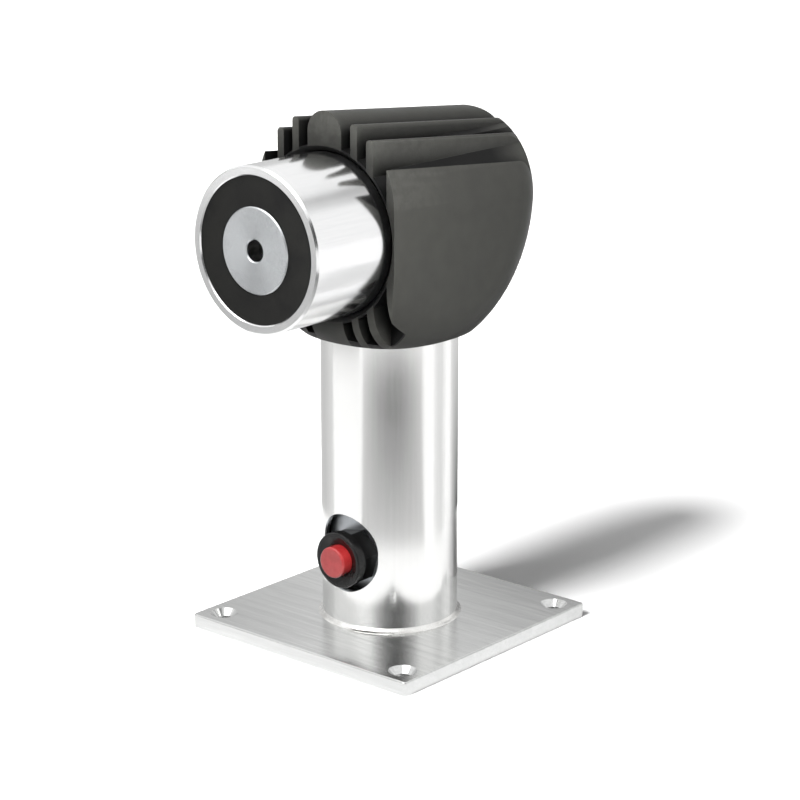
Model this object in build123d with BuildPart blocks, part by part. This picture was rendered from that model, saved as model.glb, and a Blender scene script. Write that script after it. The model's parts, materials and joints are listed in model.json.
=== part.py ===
from build123d import *
from math import cos, hypot, radians, sin, sqrt, tan
import os

os.makedirs("parts", exist_ok=True)

# All sizes are in millimetres. The origin is on the post's axis at the underside of the foot,
# +Z is up, and the magnet faces -Y.

# Foot
plate_size = 100.0
plate_thickness = 5.0
plate_corner_radius = 1.6
plate_edge_radius = 0.6
bolt_spacing = 84.0
bolt_hole_diameter = 5.5
bolt_sink_diameter = 10.0
sink_angle = 90.0
cable_hole_diameter = 12.0

# Post
tube_diameter = 48.3
tube_wall = 2.0
weld_leg = 1.5
socket_depth = 8.7
tube_fit = 0.1
button_window_width = 25.0
button_window_length = 28.2
button_window_height = 32.4

# Magnet
magnet_height = 147.6
magnet_diameter = 56.0
magnet_length = 45.0
magnet_standout = 34.1
magnet_fit = 0.15
pot_wall = 3.3
pot_base = 6.0
pot_edge_chamfer = 0.7
pot_inner_chamfer = 0.4
core_spigot_diameter = 14.0
core_edge_chamfer = 0.4
core_diameter = 29.2
core_hole_diameter = 7.3
core_hole_depth = 10.0
potting_recess = 0.8
potting_thickness = 3.0
bobbin_flange = 1.0
bobbin_tube = 0.8
bobbin_fit = 0.15
winding_inset = 0.8

# Head, heights counted from the magnet's axis
head_front = 32.9
cheek_wall = 2.35
arch_rise = 11.2
top_slope = 5.4
ball_drop = 7.9
ball_forward = 1.0
back_radius = 54.8
back_rise = 7.5
back_edge_centre = 38.8
slot_depth = 9.0
slot_floor_rise = 6.4
slot_run_out = 8.0
socket_wall = 3.2
collar_height = 1.2
bore_chamfer = 1.7
duct_diameter = 14.0
side_duct_diameter = 11.0
lead_drop = 20.0

# Ribs, from the middle outwards
middle_rib_width = 15.0
thin_rib_width = 2.9
thin_rib_drop = 0.35
slot_widths = (4.0, 4.0, 5.9)

# Plug between post and head
plug_height = 14.0
plug_screw_radius = 15.0
plug_screw_count = 3

# Push button
button_height = 30.6
bezel_diameter = 20.0
bezel_thickness = 3.6
bezel_front = 28.0
bezel_rim = 1.3
bezel_dish = 1.2
bezel_edge_radius = 0.7
shoulder_flats = 17.0
shoulder_turn = 12.0
nut_flats = 19.0
thread_diameter = 16.0
thread_length = 12.5
rear_diameter = 14.0
rear_length = 6.0
contact_room_diameter = 11.2
cap_diameter = 11.2
cap_standout = 3.1
cap_edge_radius = 0.8
cap_play = 0.15
cap_skirt = 4.2
cap_wall = 1.4
cap_top = 2.0
button_travel = 2.5
travel_margin = 0.1
partition = 3.0
stem_diameter = 4.0
rivet_diameter = 2.4
spring_coil_diameter = 6.6
spring_wire = 0.6
spring_turns = 5
bridge_length = 9.0
bridge_width = 4.5
bridge_thickness = 0.5
contact_blade_width = 2.8
contact_blade_thickness = 0.8
contact_spacing = 7.0
contact_base_thickness = 4.0
contact_tail = 5.5
washer_thickness = 1.0
washer_diameter = 22.0
nut_height = 3.5

# Bracket inside the post
bracket_sheet = 1.5
bracket_width = 26.0
bracket_front_height = 52.0
bracket_back_height = 64.0
bracket_clearance = 0.75
bracket_bend_radius = 2.0
bracket_corner_radius = 3.0
bracket_hole_play = 0.15

# Terminals and leads
block_width = 26.0
block_height = 14.0
block_depth = 13.0
block_base = 46.0
block_corner_radius = 1.0
pole_spacing = 8.0
clamp_diameter = 5.0
clamp_bore = 3.0
clamp_length = 11.0
clamp_screw_spread = 5.6
clamp_screw_diameter = 2.6
clamp_screw_head = 3.4
clamp_screw_head_height = 2.0
clamp_screw_slot = 0.5
lead_diameter = 1.8
lead_spacing = 3.2
lead_overlap = 0.4
magnet_lead_heights = (99.0, 75.0)
magnet_lead_bends = (12.0, 50.0, 40.0)
button_lead_heights = (37.0, 44.5)
button_lead_bends = (6.5, 8.0)

# Fasteners
small_screw_diameter = 4.0
small_screw_head = 7.0
small_screw_head_height = 4.0
small_screw_socket = 3.0
screw_play = 0.25
insert_diameter = 6.0
insert_length = 8.0
insert_room = 3.0
plug_screw_length = 14.0
magnet_screw_length = 45.0
bracket_screw_length = 10.0
bracket_screw_set = 0.25
m4_nut_flats = 7.0
m4_nut_height = 3.2
nut_clearance = 0.95
block_screw_diameter = 2.5
block_screw_head = 4.5
block_screw_head_height = 1.8
block_screw_length = 12.0
block_screw_socket = 2.0
block_screw_depth = 3.5
grommet_diameter = 8.0
grommet_flange = 1.0
grommet_lip = 1.0

# Sizes that follow from those above
tube_radius = tube_diameter / 2
tube_inner = tube_radius - tube_wall
magnet_radius = magnet_diameter / 2
bore_radius = magnet_radius + magnet_fit
core_radius = core_diameter / 2
core_spigot_radius = core_spigot_diameter / 2
pot_inner = magnet_radius - pot_wall
bobbin_tube_radius = core_radius + bobbin_fit + bobbin_tube
winding_radius = pot_inner - bobbin_fit - winding_inset
cap_radius = cap_diameter / 2
stem_radius = stem_diameter / 2
head_half_width = bore_radius + cheek_wall
magnet_face = -(head_front + magnet_standout)
magnet_back = magnet_face + magnet_length
pot_floor = magnet_back - pot_base
bottom_drop = ball_drop + head_half_width
back_edge_radius = back_radius - back_edge_centre
head_bottom = magnet_height - bottom_drop
ball_radius = hypot(head_half_width, head_front - ball_forward)
socket_outer = tube_radius + tube_fit + socket_wall
slotted_half_width = middle_rib_width / 2 + sum(slot_widths) + 2 * thin_rib_width
tube_top = head_bottom + socket_depth
plug_bottom = tube_top - plug_height
bracket_reach = sqrt((tube_inner - bracket_clearance) ** 2 - (bracket_width / 2) ** 2)
bracket_front = -bracket_reach
foot_top = plate_thickness + bracket_sheet
shoulder_front = -(bezel_front - bezel_thickness)
thread_back = bracket_front + thread_length
button_back = thread_back + rear_length
washer_front = bracket_front + bracket_sheet
nut_front = washer_front + washer_thickness
cap_front = -(bezel_front + cap_standout)
cap_back = cap_front + cap_standout + cap_skirt
spring_front = cap_front + cap_top
well_floor = cap_back + button_travel + travel_margin
partition_back = well_floor + partition
bridge_back = partition_back + bridge_thickness
contact_front = bridge_back + button_travel + travel_margin / 2
core_seat = magnet_face + core_hole_depth
potting_front = magnet_face + potting_recess
bobbin_front = potting_front + potting_thickness
block_back = bracket_reach - bracket_sheet
bracket_screw_offset = block_back - m4_nut_flats / sqrt(3) - nut_clearance
block_front = block_back - block_depth
block_middle = block_base + block_height / 2
pole_y = block_back - block_depth / 2
lead_y = pole_y + clamp_bore / 2 - lead_diameter / 2
rear_reach = 2 * back_radius
lead_height = magnet_height - lead_drop
lean = (0, cos(radians(top_slope)), -sin(radians(top_slope)))


def facing(y):
    # Plane across the magnet's direction, drawn in X and Z, with its normal towards the door
    return Plane.XZ.offset(-y)


def cylinder_screw(head, head_height, diameter, length, socket):
    # Cylinder-head screw that stands with its head's underside on XY and its shank downwards
    with BuildPart() as body:
        with BuildSketch():
            Circle(head / 2)
        extrude(amount=head_height)
        with BuildSketch():
            Circle(diameter / 2)
        extrude(amount=-length)
        with BuildSketch(Plane.XY.offset(head_height)):
            RegularPolygon(socket / sqrt(3), 6)
        extrude(amount=-head_height / 2, mode=Mode.SUBTRACT)
    return body.part


def hexagon_nut(flats, height, bore):
    # Hexagon nut that stands on XY, with its upper corners turned off
    with BuildPart() as body:
        with BuildSketch():
            RegularPolygon(flats / sqrt(3), 6)
        extrude(amount=height)
        with BuildSketch(Plane.XY.offset(height)):
            Circle(flats / 2)
        extrude(amount=-height, taper=-60, mode=Mode.INTERSECT)
        Hole(bore)
    return body.part


def turned(axis_height, points):
    # Body turned about an axis along Y at a height, from points given as (radius, y)
    with BuildPart() as body:
        with BuildSketch(Plane.YZ):
            with BuildLine(Location((0, axis_height))):
                Polyline([(y, radius) for radius, y in points], close=True)
            make_face()
        revolve(axis=Axis((0, 0, axis_height), (0, 1, 0)))
    return body.part


def arch_height(x):
    # Height of the arched top over the magnet's axis, at the front face
    return arch_rise + sqrt(head_half_width**2 - x**2)


# Foot: a square plate with countersunk corner holes and an opening for the supply cable
with BuildPart() as base_plate:
    with BuildSketch():
        RectangleRounded(plate_size, plate_size, plate_corner_radius)
    extrude(amount=plate_thickness)
    fillet(base_plate.faces().sort_by(Axis.Z)[-1].edges(), plate_edge_radius)
    with Locations(Plane.XY.offset(plate_thickness)):
        with GridLocations(bolt_spacing, bolt_spacing, 2, 2):
            CounterSinkHole(bolt_hole_diameter / 2, bolt_sink_diameter / 2, counter_sink_angle=sink_angle)
        Hole(cable_hole_diameter / 2)
    with Locations(Plane.XY.rotated((180, 0, 0))):
        with GridLocations(0, 2 * bracket_screw_offset, 1, 2):
            CounterSinkHole(
                small_screw_diameter / 2 + screw_play,
                small_screw_head / 2 + screw_play,
                counter_sink_angle=sink_angle,
            )
base_plate.part.label = "base_plate"
export_step(base_plate.part, "parts/base_plate.step")

# Post: a round tube with a window for the push button
with BuildPart() as post_tube:
    with BuildSketch(Plane.XY.offset(plate_thickness)):
        Circle(tube_radius)
        Circle(tube_inner, mode=Mode.SUBTRACT)
    extrude(amount=tube_top - plate_thickness)
    with BuildSketch(Plane.XZ):
        with Locations((0, button_window_height)):
            SlotOverall(button_window_length, button_window_width, rotation=90)
    extrude(amount=tube_diameter, mode=Mode.SUBTRACT)
post_tube.part.label = "post_tube"
export_step(post_tube.part, "parts/post_tube.step")

# Fillet weld round the post's root, slightly hollow
with BuildPart() as weld_bead:
    with BuildSketch(Plane.XZ):
        with BuildLine():
            root = (tube_radius, plate_thickness)
            toe = (tube_radius + weld_leg, plate_thickness)
            crest = (tube_radius, plate_thickness + weld_leg)
            Line(root, toe)
            RadiusArc(toe, crest, 2 * weld_leg)
            Line(crest, root)
        make_face()
    revolve(axis=Axis.Z)
weld_bead.part.label = "weld_bead"
export_step(weld_bead.part, "parts/weld_bead.step")

# Plug in the top of the post, with counterbored holes for the screws that carry the head
with BuildPart() as tube_plug:
    with BuildSketch(Plane.XY.offset(plug_bottom)):
        Circle(tube_inner)
    extrude(amount=plug_height)
    with Locations(Plane.XY.offset(plug_bottom).rotated((180, 0, 0))):
        Hole(duct_diameter / 2)
        with PolarLocations(plug_screw_radius, plug_screw_count, start_angle=-90):
            CounterBoreHole(
                small_screw_diameter / 2 + screw_play,
                small_screw_head / 2 + screw_play,
                small_screw_head_height,
            )
tube_plug.part.label = "tube_plug"
export_step(tube_plug.part, "parts/tube_plug.step")

# The ribs and the slots between them on one side, from the middle outwards
slots = []
thin_ribs = []
edge = middle_rib_width / 2
for width in slot_widths:
    slots.append((edge + width / 2, width))
    thin_ribs.append(edge + width + thin_rib_width / 2)
    edge += width + thin_rib_width
thin_ribs.pop()

# What lies outside the ball of the head's lower front
with BuildPart() as ball_corner:
    with Locations((0, -ball_forward, magnet_height - ball_drop)):
        Box(rear_reach, rear_reach, rear_reach, align=(Align.CENTER, Align.MAX, Align.MAX))
        Sphere(ball_radius, mode=Mode.SUBTRACT)

# Outer form: an arched bar that falls towards the back, where a turned form with a ball below ends it
with BuildPart() as head_form:
    with BuildSketch(facing(-head_front)):
        with BuildLine(Location((0, magnet_height))):
            CenterArc((0, arch_rise), head_half_width, 0, 180)
            Polyline(
                (-head_half_width, arch_rise),
                (-head_half_width, -back_radius),
                (head_half_width, -back_radius),
                (head_half_width, arch_rise),
            )
        make_face()
    extrude(amount=rear_reach, dir=lean)
    with BuildSketch(Plane.YZ):
        with BuildLine(Location((0, magnet_height + back_rise))):
            RadiusArc((0, -back_radius), (-back_radius, 0), back_radius)
            Polyline((-back_radius, 0), (-back_radius, rear_reach), (0, rear_reach), (0, -back_radius))
        make_face()
    revolve(axis=Axis.Z, mode=Mode.INTERSECT)
    ball_faces = head_form.faces().filter_by(GeomType.SPHERE)
    turned_faces = ball_faces + head_form.faces().filter_by(GeomType.CYLINDER)
    side_and_top_edges = turned_faces.edges().filter_by(
        lambda e: abs(e.center().X) > middle_rib_width or e.center().Z > magnet_height + arch_rise
    )
    fillet(side_and_top_edges, back_edge_radius)
    split(bisect_by=Plane.XY.offset(head_bottom), keep=Keep.TOP)
    add(ball_corner.part, mode=Mode.SUBTRACT)

# What the slots leave standing: the level floor, the magnet's sleeve, the post's socket and the collar
with BuildPart() as slot_core:
    with BuildSketch(facing(slot_depth - head_front)):
        with BuildLine(Location((0, magnet_height))):
            CenterArc((0, slot_floor_rise), slotted_half_width, 0, 180)
            Polyline(
                (-slotted_half_width, slot_floor_rise),
                (-slotted_half_width, -bottom_drop),
                (slotted_half_width, -bottom_drop),
                (slotted_half_width, slot_floor_rise),
            )
        make_face()
    extrude(amount=-rear_reach)
    with BuildSketch(facing(-head_front)):
        with Locations((0, magnet_height)):
            Circle(head_half_width)
    extrude(amount=-head_front)
    with BuildSketch(Plane.XY.offset(head_bottom)):
        Circle(socket_outer)
    extrude(amount=bottom_drop)
    with BuildSketch(Plane.XZ):
        with BuildLine(Location((0, head_bottom + collar_height))):
            CenterArc((socket_outer + slot_run_out, slot_run_out), slot_run_out, 180, 90)
            Polyline(
                (socket_outer + slot_run_out, 0),
                (ball_radius, 0),
                (ball_radius, -collar_height),
                (0, -collar_height),
                (0, slot_run_out),
                (socket_outer, slot_run_out),
            )
        make_face()
    revolve(axis=Axis.Z)

with BuildPart() as slot_cutter:
    for middle, width in slots:
        for side in (-1, 1):
            with BuildSketch(Plane.YZ.offset(side * middle)):
                with Locations((0, magnet_height)):
                    Rectangle(2 * rear_reach, 2 * rear_reach)
            extrude(amount=width / 2, both=True)
    add(slot_core.part, mode=Mode.SUBTRACT)

# Everything outside the round backs of the ribs, which fall with the top
rib_backs = [(0, middle_rib_width, arch_height(0))]
for middle in thin_ribs:
    for side in (-1, 1):
        rib_backs.append((side * middle, thin_rib_width, arch_height(middle) - thin_rib_drop))
with BuildPart() as rib_trim:
    for middle, width, crest in rib_backs:
        with BuildSketch(facing(-head_front)):
            with Locations((middle, magnet_height + crest - width / 2)):
                Rectangle(width + min(slot_widths), middle_rib_width, align=(Align.CENTER, Align.MIN))
                Circle(width / 2, mode=Mode.SUBTRACT)
        extrude(amount=rear_reach, dir=lean)

# Head: ribbed moulding with the magnet's bore, the post's socket and the ducts for the leads
with BuildPart() as head_housing:
    add(head_form.part)
    add(slot_cutter.part, mode=Mode.SUBTRACT)
    add(rib_trim.part, mode=Mode.SUBTRACT)
    with BuildSketch(facing(-head_front)):
        with Locations((0, magnet_height)):
            Circle(bore_radius)
    extrude(amount=-(head_front + magnet_back), mode=Mode.SUBTRACT)
    chamfer(
        head_housing.edges().filter_by(GeomType.CIRCLE).filter_by_position(
            Axis.Y, -head_front - 0.1, -head_front + 0.1
        ).filter_by(lambda e: abs(e.radius - bore_radius) < 0.01),
        length=bore_chamfer,
    )
    with BuildSketch(Plane.XY.offset(head_bottom)):
        Circle(tube_radius + tube_fit)
    extrude(amount=socket_depth, mode=Mode.SUBTRACT)
    with BuildSketch(Plane.XY.offset(tube_top)):
        Circle(duct_diameter / 2)
    extrude(amount=lead_height - tube_top + side_duct_diameter / 2, mode=Mode.SUBTRACT)
    with BuildSketch(facing(0)):
        with Locations((0, lead_height)):
            Circle(side_duct_diameter / 2)
    extrude(amount=-magnet_back, mode=Mode.SUBTRACT)
    with Locations(Plane.XY.offset(tube_top).rotated((180, 0, 0))):
        with PolarLocations(plug_screw_radius, plug_screw_count, start_angle=-90):
            Hole(insert_diameter / 2, depth=insert_length)
    with Locations(facing(magnet_back)):
        with Locations((0, magnet_height)):
            Hole(insert_diameter / 2, depth=insert_length + insert_room)
head_housing.part.label = "head_housing"
export_step(head_housing.part, "parts/head_housing.step")

# Magnet pot: turned cup with a hole in its base for the core and one for the leads
with BuildPart() as magnet_pot:
    add(
        turned(
            magnet_height,
            [
                (magnet_radius - pot_edge_chamfer, magnet_face),
                (magnet_radius, magnet_face + pot_edge_chamfer),
                (magnet_radius, magnet_back - pot_edge_chamfer),
                (magnet_radius - pot_edge_chamfer, magnet_back),
                (core_spigot_radius, magnet_back),
                (core_spigot_radius, pot_floor),
                (pot_inner, pot_floor),
                (pot_inner, magnet_face + pot_inner_chamfer),
                (pot_inner + pot_inner_chamfer, magnet_face),
            ],
        )
    )
    with BuildSketch(facing(pot_floor)):
        with Locations((0, lead_height)):
            Circle(grommet_diameter / 2)
    extrude(amount=-pot_base, mode=Mode.SUBTRACT)
magnet_pot.part.label = "magnet_pot"
export_step(magnet_pot.part, "parts/magnet_pot.step")

# Core: turned pole with a spigot in the base of the pot and a deep seat for its screw
with BuildPart() as magnet_core:
    add(
        turned(
            magnet_height,
            [
                (core_hole_diameter / 2 + core_edge_chamfer, magnet_face),
                (core_radius - core_edge_chamfer, magnet_face),
                (core_radius, magnet_face + core_edge_chamfer),
                (core_radius, pot_floor),
                (core_spigot_radius, pot_floor),
                (core_spigot_radius, magnet_back),
                (small_screw_diameter / 2 + screw_play, magnet_back),
                (small_screw_diameter / 2 + screw_play, core_seat),
                (core_hole_diameter / 2, core_seat),
                (core_hole_diameter / 2, magnet_face + core_edge_chamfer),
            ],
        )
    )
magnet_core.part.label = "magnet_core"
export_step(magnet_core.part, "parts/magnet_core.step")

# Sealing compound between pot and core
with BuildPart() as potting_ring:
    with BuildSketch(facing(potting_front)):
        with Locations((0, magnet_height)):
            Circle(pot_inner)
            Circle(core_radius, mode=Mode.SUBTRACT)
    extrude(amount=-potting_thickness)
potting_ring.part.label = "potting_ring"
export_step(potting_ring.part, "parts/potting_ring.step")

# Coil former with two flanges and an outlet for the leads
with BuildPart() as coil_bobbin:
    add(
        turned(
            magnet_height,
            [
                (core_radius + bobbin_fit, bobbin_front),
                (pot_inner - bobbin_fit, bobbin_front),
                (pot_inner - bobbin_fit, bobbin_front + bobbin_flange),
                (bobbin_tube_radius, bobbin_front + bobbin_flange),
                (bobbin_tube_radius, pot_floor - bobbin_flange),
                (pot_inner - bobbin_fit, pot_floor - bobbin_flange),
                (pot_inner - bobbin_fit, pot_floor),
                (core_radius + bobbin_fit, pot_floor),
            ],
        )
    )
    with BuildSketch(facing(pot_floor)):
        with Locations((0, lead_height)):
            Circle(grommet_diameter / 2)
    extrude(amount=bobbin_flange, mode=Mode.SUBTRACT)
coil_bobbin.part.label = "coil_bobbin"
export_step(coil_bobbin.part, "parts/coil_bobbin.step")

# Winding between the flanges
with BuildPart() as coil_winding:
    add(
        turned(
            magnet_height,
            [
                (bobbin_tube_radius, bobbin_front + bobbin_flange),
                (winding_radius, bobbin_front + bobbin_flange),
                (winding_radius, pot_floor - bobbin_flange),
                (bobbin_tube_radius, pot_floor - bobbin_flange),
            ],
        )
    )
coil_winding.part.label = "coil_winding"
export_step(coil_winding.part, "parts/coil_winding.step")

# Grommet in the base of the pot, with a bore for each lead
with BuildPart() as lead_grommet:
    add(
        turned(
            lead_height,
            [
                (0, pot_floor - bobbin_flange),
                (grommet_diameter / 2, pot_floor - bobbin_flange),
                (grommet_diameter / 2, magnet_back),
                (grommet_diameter / 2 + grommet_lip, magnet_back),
                (grommet_diameter / 2 + grommet_lip, magnet_back + grommet_flange),
                (0, magnet_back + grommet_flange),
            ],
        )
    )
    with BuildSketch(facing(pot_floor - bobbin_flange)):
        with Locations((0, lead_height)):
            with GridLocations(lead_spacing, 0, 2, 1):
                Circle(lead_diameter / 2)
    extrude(amount=-rear_reach, mode=Mode.SUBTRACT)
lead_grommet.part.label = "lead_grommet"
export_step(lead_grommet.part, "parts/lead_grommet.step")

# Screw through the core into the head
small_screw = (small_screw_head, small_screw_head_height, small_screw_diameter)
magnet_screw_body = cylinder_screw(*small_screw, magnet_screw_length, small_screw_socket)
with BuildPart() as magnet_screw:
    with Locations(facing(core_seat)):
        with Locations((0, magnet_height)):
            add(magnet_screw_body)
magnet_screw.part.label = "magnet_screw"
export_step(magnet_screw.part, "parts/magnet_screw.step")

# Screws up through the plug into the head
plug_screw_body = cylinder_screw(*small_screw, plug_screw_length, small_screw_socket)
with BuildPart() as plug_screws:
    with Locations(Plane.XY.offset(plug_bottom + small_screw_head_height).rotated((180, 0, 0))):
        with PolarLocations(plug_screw_radius, plug_screw_count, start_angle=-90):
            add(plug_screw_body)
plug_screws.part.label = "plug_screws"
export_step(plug_screws.part, "parts/plug_screws.step")

# Threaded inserts in the head, one for each of these screws
with BuildPart() as insert_sleeve:
    with BuildSketch():
        Circle(insert_diameter / 2)
        Circle(small_screw_diameter / 2, mode=Mode.SUBTRACT)
    extrude(amount=-insert_length)
with BuildPart() as thread_inserts:
    with Locations(facing(magnet_back)):
        with Locations((0, magnet_height)):
            add(insert_sleeve.part)
    with Locations(Plane.XY.offset(tube_top).rotated((180, 0, 0))):
        with PolarLocations(plug_screw_radius, plug_screw_count, start_angle=-90):
            add(insert_sleeve.part)
thread_inserts.part.label = "thread_inserts"
export_step(thread_inserts.part, "parts/thread_inserts.step")

# Bracket folded from sheet: its front carries the button and its back the terminals
with BuildPart() as button_bracket:
    with BuildSketch(Plane.YZ.offset(-bracket_width / 2)):
        with BuildLine():
            FilletPolyline(
                (bracket_front, bracket_front_height),
                (bracket_front, plate_thickness),
                (bracket_reach, plate_thickness),
                (bracket_reach, bracket_back_height),
                radius=bracket_bend_radius,
            )
            FilletPolyline(
                (washer_front, bracket_front_height),
                (washer_front, foot_top),
                (block_back, foot_top),
                (block_back, bracket_back_height),
                radius=bracket_bend_radius - bracket_sheet,
            )
            Line((bracket_front, bracket_front_height), (washer_front, bracket_front_height))
            Line((bracket_reach, bracket_back_height), (block_back, bracket_back_height))
        make_face()
    extrude(amount=bracket_width)
    top_corners = button_bracket.edges().filter_by(Axis.Y).filter_by_position(
        Axis.Z, bracket_front_height - 1, bracket_back_height + 1
    )
    fillet(top_corners, bracket_corner_radius)
    with Locations(Plane.XY.offset(foot_top)):
        Hole(cable_hole_diameter / 2, depth=bracket_sheet)
        with GridLocations(0, 2 * bracket_screw_offset, 1, 2):
            Hole(small_screw_diameter / 2 + screw_play, depth=bracket_sheet)
    with Locations(facing(bracket_front)):
        with Locations((0, button_height)):
            Hole(thread_diameter / 2 + bracket_hole_play, depth=bracket_sheet)
    with Locations(facing(block_back)):
        with Locations((0, block_middle)):
            with GridLocations(pole_spacing, 0, 2, 1):
                Hole(block_screw_diameter / 2, depth=bracket_sheet)
button_bracket.part.label = "button_bracket"
export_step(button_bracket.part, "parts/button_bracket.step")

# Countersunk screws up through the foot, and their nuts
with BuildPart() as bracket_screw:
    with BuildSketch(Plane.XZ):
        with BuildLine():
            head_radius = small_screw_head / 2
            shank_radius = small_screw_diameter / 2
            neck = bracket_screw_set + head_radius - shank_radius
            Polyline(
                (0, bracket_screw_set),
                (head_radius, bracket_screw_set),
                (shank_radius, neck),
                (shank_radius, bracket_screw_length),
                (0, bracket_screw_length),
                close=True,
            )
        make_face()
    revolve(axis=Axis.Z)
    with BuildSketch(Plane.XY.offset(bracket_screw_set)):
        RegularPolygon(small_screw_socket / sqrt(3), 6)
    extrude(amount=small_screw_socket / 2, mode=Mode.SUBTRACT)
with BuildPart() as bracket_screws:
    with GridLocations(0, 2 * bracket_screw_offset, 1, 2):
        add(bracket_screw.part)
bracket_screws.part.label = "bracket_screws"
export_step(bracket_screws.part, "parts/bracket_screws.step")

bracket_nut_body = hexagon_nut(m4_nut_flats, m4_nut_height, small_screw_diameter / 2)
with BuildPart() as bracket_nuts:
    with Locations(Plane.XY.offset(foot_top).rotated((0, 0, 90))):
        with GridLocations(2 * bracket_screw_offset, 0, 2, 1):
            add(bracket_nut_body)
bracket_nuts.part.label = "bracket_nuts"
export_step(bracket_nuts.part, "parts/bracket_nuts.step")

# Push-button housing: bezel, hexagonal shoulder and barrel, with a well for the cap in front
# and a room for the contacts behind
with BuildPart() as button_body:
    add(
        turned(
            button_height,
            [
                (cap_radius + cap_play, bezel_dish - bezel_front),
                (bezel_diameter / 2 - bezel_rim, -bezel_front),
                (bezel_diameter / 2, -bezel_front),
                (bezel_diameter / 2, shoulder_front),
                (thread_diameter / 2, shoulder_front),
                (thread_diameter / 2, thread_back),
                (rear_diameter / 2, thread_back),
                (rear_diameter / 2, button_back),
                (contact_room_diameter / 2, button_back),
                (contact_room_diameter / 2, partition_back),
                (stem_radius + cap_play, partition_back),
                (stem_radius + cap_play, well_floor),
                (cap_radius + cap_play, well_floor),
            ],
        )
    )
    fillet(
        button_body.edges().filter_by_position(Axis.Y, -bezel_front - 0.01, -bezel_front + 0.01).sort_by(
            SortBy.LENGTH
        )[-1],
        bezel_edge_radius,
    )
    with BuildSketch(facing(shoulder_front)):
        with Locations((0, button_height)):
            RegularPolygon(shoulder_flats / sqrt(3), 6, rotation=shoulder_turn)
            Circle(cap_radius + cap_play, mode=Mode.SUBTRACT)
    extrude(amount=-(bracket_front - shoulder_front))
button_body.part.label = "button_body"
export_step(button_body.part, "parts/button_body.step")

# Push cap: a hollow cap on a stem that ends in a rivet
with BuildPart() as button_cap:
    add(
        turned(
            button_height,
            [
                (0, cap_front),
                (cap_radius, cap_front),
                (cap_radius, cap_back),
                (cap_radius - cap_wall, cap_back),
                (cap_radius - cap_wall, spring_front),
                (stem_radius, spring_front),
                (stem_radius, partition_back),
                (rivet_diameter / 2, partition_back),
                (rivet_diameter / 2, bridge_back),
                (stem_radius, bridge_back),
                (stem_radius, bridge_back + bridge_thickness),
                (0, bridge_back + bridge_thickness),
            ],
        )
    )
    fillet(
        button_cap.edges().filter_by_position(Axis.Y, cap_front - 0.01, cap_front + 0.01), cap_edge_radius
    )
button_cap.part.label = "button_cap"
export_step(button_cap.part, "parts/button_cap.step")

# Return spring round the stem, from the well's floor to the cap
with BuildPart() as button_spring:
    with BuildLine() as coil:
        coil_height = well_floor - spring_front - spring_wire
        Helix(
            pitch=coil_height / spring_turns,
            height=coil_height,
            radius=spring_coil_diameter / 2,
            center=(0, spring_front + spring_wire / 2, button_height),
            direction=(0, 1, 0),
        )
    with BuildSketch(Plane(coil.line @ 0, z_dir=coil.line % 0)):
        Circle(spring_wire / 2)
    sweep(is_frenet=True)
button_spring.part.label = "button_spring"
export_step(button_spring.part, "parts/button_spring.step")

# Bridge on the stem that joins the two contacts when the cap is pushed
with BuildPart() as contact_bridge:
    with BuildSketch(facing(partition_back)):
        with Locations((0, button_height)):
            RectangleRounded(bridge_length, bridge_width, bridge_thickness)
            Circle(rivet_diameter / 2, mode=Mode.SUBTRACT)
    extrude(amount=-bridge_thickness)
contact_bridge.part.label = "contact_bridge"
export_step(contact_bridge.part, "parts/contact_bridge.step")

# Contacts and the base that holds them in the back of the button
with BuildPart() as button_contacts:
    with BuildSketch(facing(contact_front)):
        with Locations((0, button_height)):
            with GridLocations(contact_spacing, 0, 2, 1):
                Rectangle(contact_blade_width, contact_blade_thickness)
    extrude(amount=-(button_back + contact_tail - contact_front))
button_contacts.part.label = "button_contacts"
export_step(button_contacts.part, "parts/button_contacts.step")

with BuildPart() as contact_base:
    with BuildSketch(facing(button_back)):
        with Locations((0, button_height)):
            Circle(contact_room_diameter / 2)
            with GridLocations(contact_spacing, 0, 2, 1):
                Rectangle(contact_blade_width, contact_blade_thickness, mode=Mode.SUBTRACT)
    extrude(amount=contact_base_thickness)
contact_base.part.label = "contact_base"
export_step(contact_base.part, "parts/contact_base.step")

# Washer and nut that clamp the button to the bracket
with BuildPart() as button_washer:
    with BuildSketch(facing(washer_front)):
        with Locations((0, button_height)):
            Circle(washer_diameter / 2)
            Circle(thread_diameter / 2 + bracket_hole_play, mode=Mode.SUBTRACT)
    extrude(amount=-washer_thickness)
button_washer.part.label = "button_washer"
export_step(button_washer.part, "parts/button_washer.step")

button_nut_body = hexagon_nut(nut_flats, nut_height, thread_diameter / 2)
with BuildPart() as button_nut:
    with Locations(facing(nut_front).rotated((180, 0, 0))):
        with Locations((0, -button_height)):
            add(button_nut_body)
button_nut.part.label = "button_nut"
export_step(button_nut.part, "parts/button_nut.step")

# Terminal block with three poles: an upright bore for each clamp and two screw holes in front of it
with BuildPart() as terminal_block:
    with BuildSketch(Plane.XY.offset(block_base)):
        with Locations((0, pole_y)):
            Rectangle(block_width, block_depth)
    extrude(amount=block_height)
    front_edges = terminal_block.edges().filter_by_position(Axis.Y, block_front - 1, block_back - 1)
    fillet(front_edges, block_corner_radius)
    with Locations(Plane.XY.offset(block_base + block_height)):
        with Locations((0, pole_y)):
            with GridLocations(pole_spacing, 0, 3, 1):
                Hole(clamp_diameter / 2, depth=block_height)
    with Locations(facing(block_front)):
        with Locations((0, block_middle)):
            with GridLocations(pole_spacing, clamp_screw_spread, 3, 2):
                Hole(clamp_screw_head / 2 + bracket_hole_play, depth=block_depth / 2)
            with GridLocations(pole_spacing, 0, 2, 1):
                CounterBoreHole(
                    block_screw_diameter / 2 + bracket_hole_play,
                    block_screw_head / 2 + bracket_hole_play,
                    block_screw_depth,
                    depth=block_depth,
                )
terminal_block.part.label = "terminal_block"
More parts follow.
